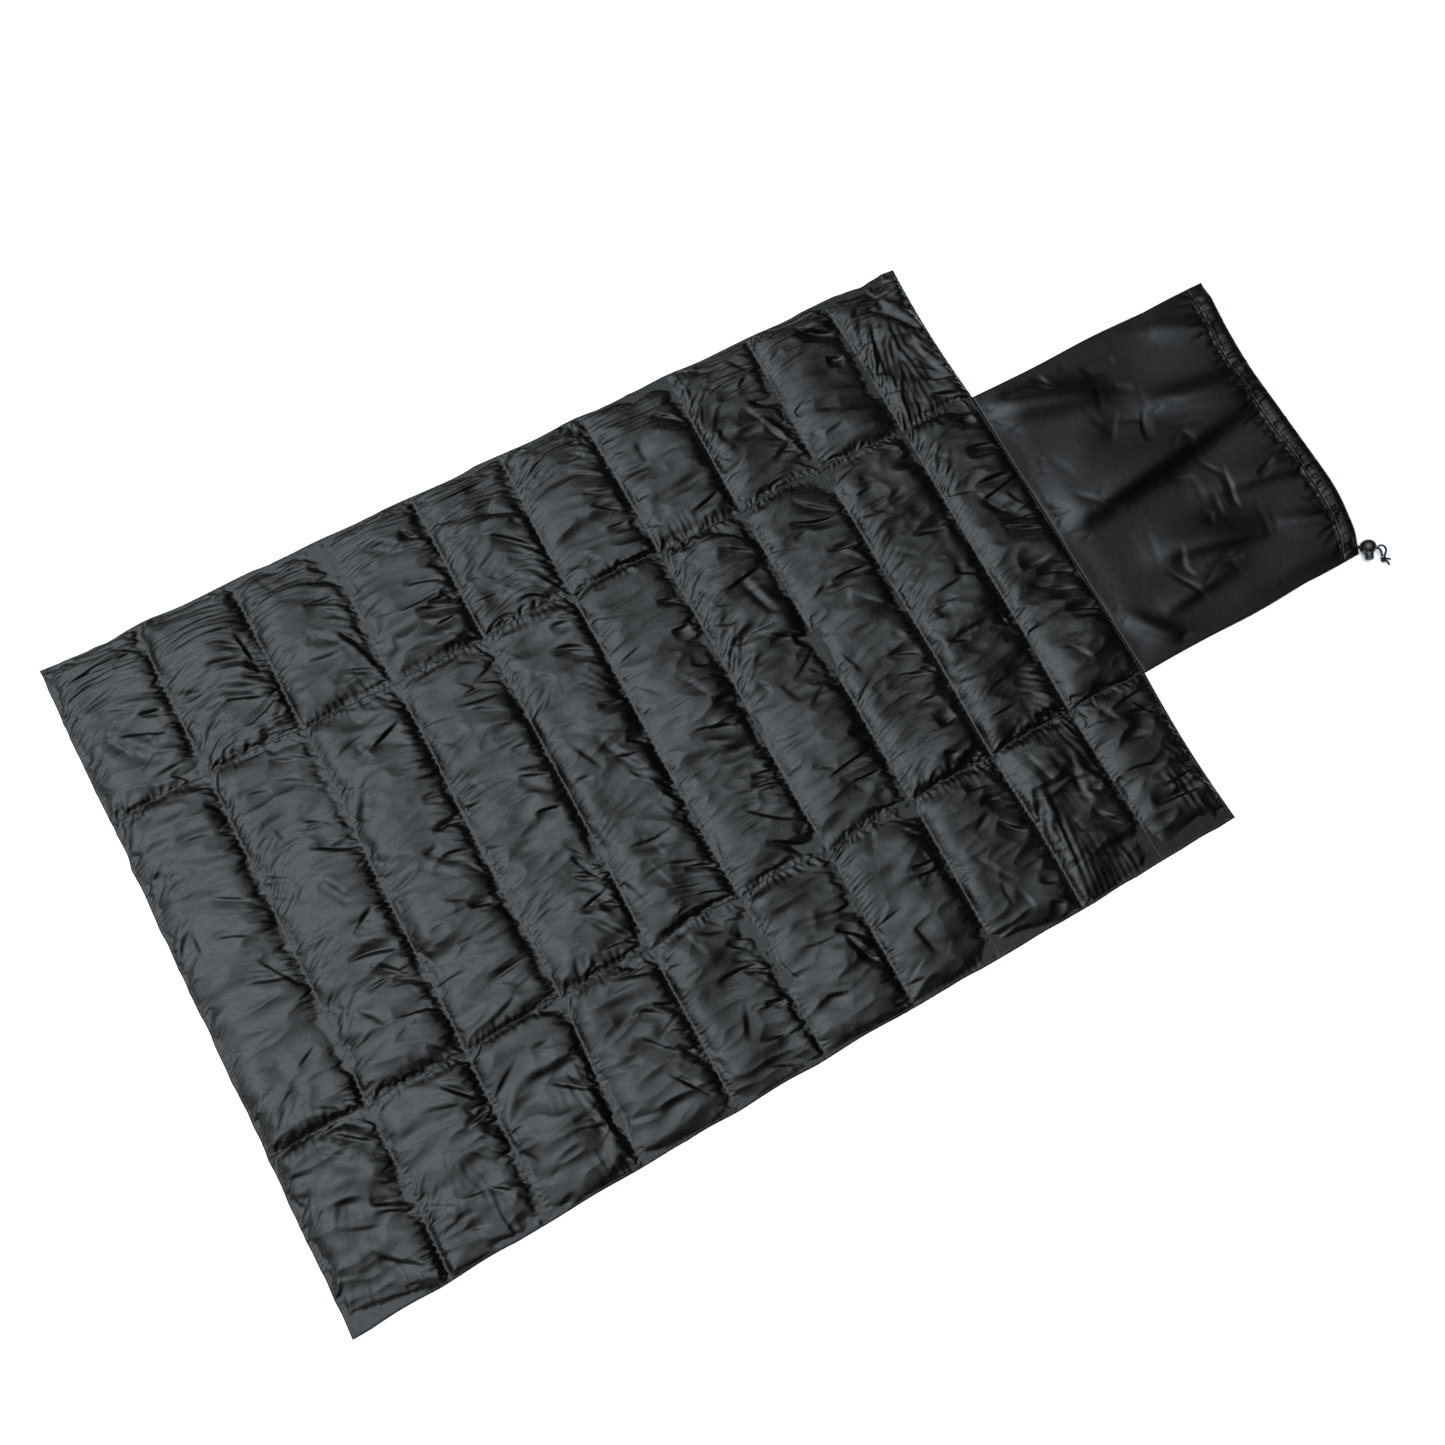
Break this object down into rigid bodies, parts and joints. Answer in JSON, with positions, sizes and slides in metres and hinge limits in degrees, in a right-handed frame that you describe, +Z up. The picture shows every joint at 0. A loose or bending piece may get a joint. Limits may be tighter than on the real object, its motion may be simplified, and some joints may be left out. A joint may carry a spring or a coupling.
{
  "type": "camp quilt",
  "caption": "Quilted rectangular camp blanket of puffed channels with a drawcord stuff sack sewn to one end; side quarters and sack fold, cord lock slides and presses.",
  "frame": {"origin": "on the ground, under the middle of the quilt and its sack laid out flat", "axes": "+X along the quilt from its plain end towards the sack, +Y across it, +Z up"},
  "size_m": [1.8626, 1, 0.024],
  "materials": {
    "shell_nylon": "satin woven nylon, fine ripstop",
    "batting": "lofted polyester",
    "quilting_thread": "spun polyester",
    "sack_nylon": "coated woven nylon, smooth",
    "drawcord": "braided polyester",
    "lock_plastic": "moulded",
    "spring_steel": "drawn wire"
  },
  "bodies": {
    "quilt_centre": {"centre_top_shell": "shell_nylon", "centre_batting": "batting", "centre_bottom_shell": "shell_nylon", "centre_cross_stitch_1": "quilting_thread", "centre_cross_stitch_2": "quilting_thread", "centre_cross_stitch_3": "quilting_thread", "centre_cross_stitch_4": "quilting_thread", "centre_cross_stitch_5": "quilting_thread", "centre_cross_stitch_6": "quilting_thread", "centre_cross_stitch_7": "quilting_thread", "centre_cross_stitch_8": "quilting_thread", "centre_cross_stitch_9": "quilting_thread", "left_lengthwise_stitch": "quilting_thread", "right_lengthwise_stitch": "quilting_thread", "plain_end_stitch": "quilting_thread", "sack_end_stitch": "quilting_thread"},
    "quilt_left": {"left_top_shell": "shell_nylon", "left_batting": "batting", "left_bottom_shell": "shell_nylon", "left_cross_stitch_1": "quilting_thread", "left_cross_stitch_2": "quilting_thread", "left_cross_stitch_3": "quilting_thread", "left_cross_stitch_4": "quilting_thread", "left_cross_stitch_5": "quilting_thread", "left_cross_stitch_6": "quilting_thread", "left_cross_stitch_7": "quilting_thread", "left_cross_stitch_8": "quilting_thread", "left_cross_stitch_9": "quilting_thread", "left_edge_stitch": "quilting_thread"},
    "quilt_right": {"right_top_shell": "shell_nylon", "right_batting": "batting", "right_bottom_shell": "shell_nylon", "right_cross_stitch_1": "quilting_thread", "right_cross_stitch_2": "quilting_thread", "right_cross_stitch_3": "quilting_thread", "right_cross_stitch_4": "quilting_thread", "right_cross_stitch_5": "quilting_thread", "right_cross_stitch_6": "quilting_thread", "right_cross_stitch_7": "quilting_thread", "right_cross_stitch_8": "quilting_thread", "right_cross_stitch_9": "quilting_thread", "right_edge_stitch": "quilting_thread"},
    "stuff_sack": {"sack_bottom_panel": "sack_nylon", "sack_top_panel": "sack_nylon", "sack_joining_seam": "sack_nylon", "sack_left_seam": "sack_nylon", "sack_right_seam": "sack_nylon", "sack_joining_stitch": "quilting_thread", "lower_casing": "sack_nylon", "upper_casing": "sack_nylon", "lower_casing_stitch": "quilting_thread", "upper_casing_stitch": "quilting_thread", "drawcord_in_casing": "drawcord", "upper_strand": "drawcord", "lower_strand": "drawcord", "cord_knot": "drawcord"},
    "cord_lock": {"lock_housing": "lock_plastic", "lock_spring": "spring_steel"},
    "lock_plunger": {"lock_plunger": "lock_plastic"}
  },
  "joints": [
    {"name": "left_fold", "type": "hinge", "parent": "quilt_centre", "child": "quilt_left", "pos_m": [-0.223, 0.2515, 0.0186], "axis": [1, 0, 0], "range_deg": [0, 180]},
    {"name": "right_fold", "type": "hinge", "parent": "quilt_centre", "child": "quilt_right", "pos_m": [-0.223, -0.2515, 0.0186], "axis": [-1, 0, 0], "range_deg": [0, 180]},
    {"name": "sack_fold", "type": "hinge", "parent": "quilt_centre", "child": "stuff_sack", "pos_m": [0.482, 0, 0.0265], "axis": [0, -1, 0], "range_deg": [0, 178]},
    {"name": "lock_slide", "type": "slide", "parent": "stuff_sack", "child": "cord_lock", "axis": [0.8829, -0.4695, 0], "range_m": [0, 0.015], "deforming": ["upper_strand", "lower_strand"]},
    {"name": "plunger_press", "type": "slide", "parent": "cord_lock", "child": "lock_plunger", "axis": [0.4695, 0.8829, 0], "range_m": [0, 0.003], "stiffness_N_per_m": 400, "springref_m": -0.004, "deforming": ["lock_spring"]}
  ]
}
